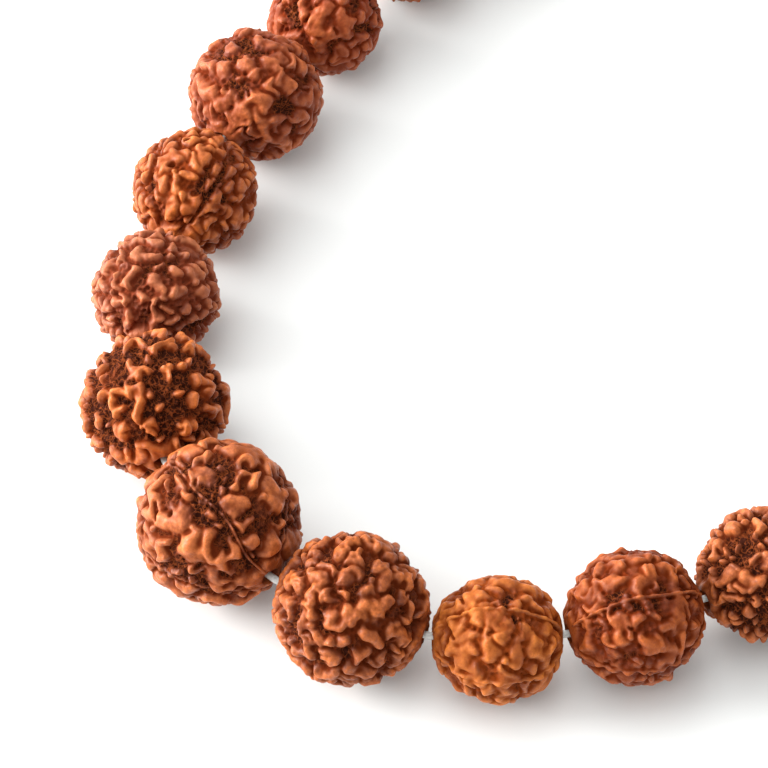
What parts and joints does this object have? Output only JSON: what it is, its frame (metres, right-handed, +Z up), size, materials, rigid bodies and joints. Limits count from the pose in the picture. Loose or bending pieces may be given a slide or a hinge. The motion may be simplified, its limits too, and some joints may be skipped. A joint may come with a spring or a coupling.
{
  "type": "prayer bead strand",
  "caption": "Closed loop of rough round seed prayer beads, each free to turn on one thin cord tied off beside the largest bead.",
  "frame": {"origin": "on the surface that the strand lies on, under the middle of its bounding box", "axes": "+X along the oval towards the largest bead (the guru bead), +Y across the oval, +Z up from the surface"},
  "size_m": [0.2408, 0.1412, 0.023],
  "materials": {
    "seed": "satin",
    "cord": "gloss"
  },
  "bodies": {
    "root": {"cord": "cord", "closing_knot": "cord"},
    "bead_01_body": {"bead_01": "seed"},
    "bead_02_body": {"bead_02": "seed"},
    "bead_03_body": {"bead_03": "seed"},
    "bead_04_body": {"bead_04": "seed"},
    "bead_05_body": {"bead_05": "seed"},
    "bead_06_body": {"bead_06": "seed"},
    "bead_07_body": {"bead_07": "seed"},
    "bead_08_body": {"bead_08": "seed"},
    "bead_09_body": {"bead_09": "seed"},
    "bead_10_body": {"bead_10": "seed"},
    "bead_11_body": {"bead_11": "seed"},
    "bead_12_body": {"bead_12": "seed"},
    "bead_13_body": {"bead_13": "seed"},
    "bead_14_body": {"bead_14": "seed"},
    "bead_15_body": {"bead_15": "seed"},
    "bead_16_body": {"bead_16": "seed"},
    "bead_17_body": {"bead_17": "seed"},
    "bead_18_body": {"bead_18": "seed"},
    "bead_19_body": {"bead_19": "seed"},
    "bead_20_body": {"bead_20": "seed"},
    "bead_21_body": {"bead_21": "seed"},
    "bead_22_body": {"bead_22": "seed"},
    "bead_23_body": {"bead_23": "seed"},
    "bead_24_body": {"bead_24": "seed"},
    "bead_25_body": {"bead_25": "seed"},
    "bead_26_body": {"bead_26": "seed"},
    "bead_27_body": {"bead_27": "seed"},
    "guru_bead_body": {"guru_bead": "seed"}
  },
  "joints": [
    {"name": "bead_01_spin", "type": "hinge", "parent": "root", "child": "bead_01_body", "pos_m": [0.10043, -0.02629, 0.0103], "axis": [-0.6056, -0.7942, -0.0499], "continuous": true},
    {"name": "bead_02_spin", "type": "hinge", "parent": "root", "child": "bead_02_body", "pos_m": [0.08596, -0.04011, 0.0094], "axis": [-0.8297, -0.557, -0.0363], "continuous": true},
    {"name": "bead_03_spin", "type": "hinge", "parent": "root", "child": "bead_03_body", "pos_m": [0.06959, -0.04895, 0.0089], "axis": [-0.9235, -0.3835, 0.011], "continuous": true},
    {"name": "bead_04_spin", "type": "hinge", "parent": "root", "child": "bead_04_body", "pos_m": [0.05155, -0.05491, 0.0098], "axis": [-0.9687, -0.2481, 0.0088], "continuous": true},
    {"name": "bead_05_spin", "type": "hinge", "parent": "root", "child": "bead_05_body", "pos_m": [0.03257, -0.05867, 0.00925], "axis": [-0.9904, -0.1378, 0.008], "continuous": true},
    {"name": "bead_06_spin", "type": "hinge", "parent": "root", "child": "bead_06_body", "pos_m": [0.013, -0.06046, 0.0101], "axis": [-0.9989, -0.0473, 0.0073], "continuous": true},
    {"name": "bead_07_spin", "type": "hinge", "parent": "root", "child": "bead_07_body", "pos_m": [-0.00695, -0.06072, 0.00955], "axis": [-0.9995, 0.0225, -0.0232], "continuous": true},
    {"name": "bead_08_spin", "type": "hinge", "parent": "root", "child": "bead_08_body", "pos_m": [-0.02596, -0.05955, 0.0092], "axis": [-0.9947, 0.1024, 0.0093], "continuous": true},
    {"name": "bead_09_spin", "type": "hinge", "parent": "root", "child": "bead_09_body", "pos_m": [-0.04513, -0.05653, 0.0099], "axis": [-0.9788, 0.2049, -0.0037], "continuous": true},
    {"name": "bead_10_spin", "type": "hinge", "parent": "root", "child": "bead_10_body", "pos_m": [-0.06368, -0.05142, 0.00905], "axis": [-0.9436, 0.3306, -0.019], "continuous": true},
    {"name": "bead_11_spin", "type": "hinge", "parent": "root", "child": "bead_11_body", "pos_m": [-0.0806, -0.04379, 0.0092], "axis": [-0.8734, 0.4869, -0.0106], "continuous": true},
    {"name": "bead_12_spin", "type": "hinge", "parent": "root", "child": "bead_12_body", "pos_m": [-0.09528, -0.03313, 0.00865], "axis": [-0.7276, 0.6853, 0.0322], "continuous": true},
    {"name": "bead_13_spin", "type": "hinge", "parent": "root", "child": "bead_13_body", "pos_m": [-0.10609, -0.01716, 0.01035], "axis": [-0.3979, 0.9155, 0.059], "continuous": true},
    {"name": "bead_14_spin", "type": "hinge", "parent": "root", "child": "bead_14_body", "pos_m": [-0.1092, 0.00449, 0.0112], "axis": [0.1052, 0.9945, -0.0011], "continuous": true},
    {"name": "bead_15_spin", "type": "hinge", "parent": "root", "child": "bead_15_body", "pos_m": [-0.1017, 0.02495, 0.0103], "axis": [0.579, 0.8137, -0.0513], "continuous": true},
    {"name": "bead_16_spin", "type": "hinge", "parent": "root", "child": "bead_16_body", "pos_m": [-0.08797, 0.03894, 0.009], "axis": [0.8168, 0.5761, -0.0324], "continuous": true},
    {"name": "bead_17_spin", "type": "hinge", "parent": "root", "child": "bead_17_body", "pos_m": [-0.07193, 0.04796, 0.0091], "axis": [0.9163, 0.3999, 0.0188], "continuous": true},
    {"name": "bead_18_spin", "type": "hinge", "parent": "root", "child": "bead_18_body", "pos_m": [-0.05389, 0.05424, 0.0097], "axis": [0.9654, 0.2601, -0.0165], "continuous": true},
    {"name": "bead_19_spin", "type": "hinge", "parent": "root", "child": "bead_19_body", "pos_m": [-0.03585, 0.05812, 0.00845], "axis": [0.9883, 0.1522, -0.0102], "continuous": true},
    {"name": "bead_20_spin", "type": "hinge", "parent": "root", "child": "bead_20_body", "pos_m": [-0.01786, 0.06005, 0.00935], "axis": [0.9971, 0.0653, 0.0394], "continuous": true},
    {"name": "bead_21_spin", "type": "hinge", "parent": "root", "child": "bead_21_body", "pos_m": [0.00174, 0.06061, 0.00995], "axis": [1, -0.0066, -0.0012], "continuous": true},
    {"name": "bead_22_spin", "type": "hinge", "parent": "root", "child": "bead_22_body", "pos_m": [0.02127, 0.05976, 0.0093], "axis": [0.9961, -0.0828, -0.0304], "continuous": true},
    {"name": "bead_23_spin", "type": "hinge", "parent": "root", "child": "bead_23_body", "pos_m": [0.03952, 0.0574, 0.0088], "axis": [0.9845, -0.1751, 0.0084], "continuous": true},
    {"name": "bead_24_spin", "type": "hinge", "parent": "root", "child": "bead_24_body", "pos_m": [0.0577, 0.053, 0.0096], "axis": [0.957, -0.29, 0.0051], "continuous": true},
    {"name": "bead_25_spin", "type": "hinge", "parent": "root", "child": "bead_25_body", "pos_m": [0.07531, 0.04616, 0.009], "axis": [0.8995, -0.4369, 0.0027], "continuous": true},
    {"name": "bead_26_spin", "type": "hinge", "parent": "root", "child": "bead_26_body", "pos_m": [0.09127, 0.03586, 0.0097], "axis": [0.7741, -0.6322, 0.035], "continuous": true},
    {"name": "bead_27_spin", "type": "hinge", "parent": "root", "child": "bead_27_body", "pos_m": [0.10413, 0.02002, 0.0104], "axis": [0.4706, -0.8814, 0.0415], "continuous": true},
    {"name": "guru_bead_spin", "type": "hinge", "parent": "root", "child": "guru_bead_body", "pos_m": [0.1089, -0.00167, 0.0115], "axis": [-0.0318, -0.9995, -0.0021], "continuous": true}
  ]
}
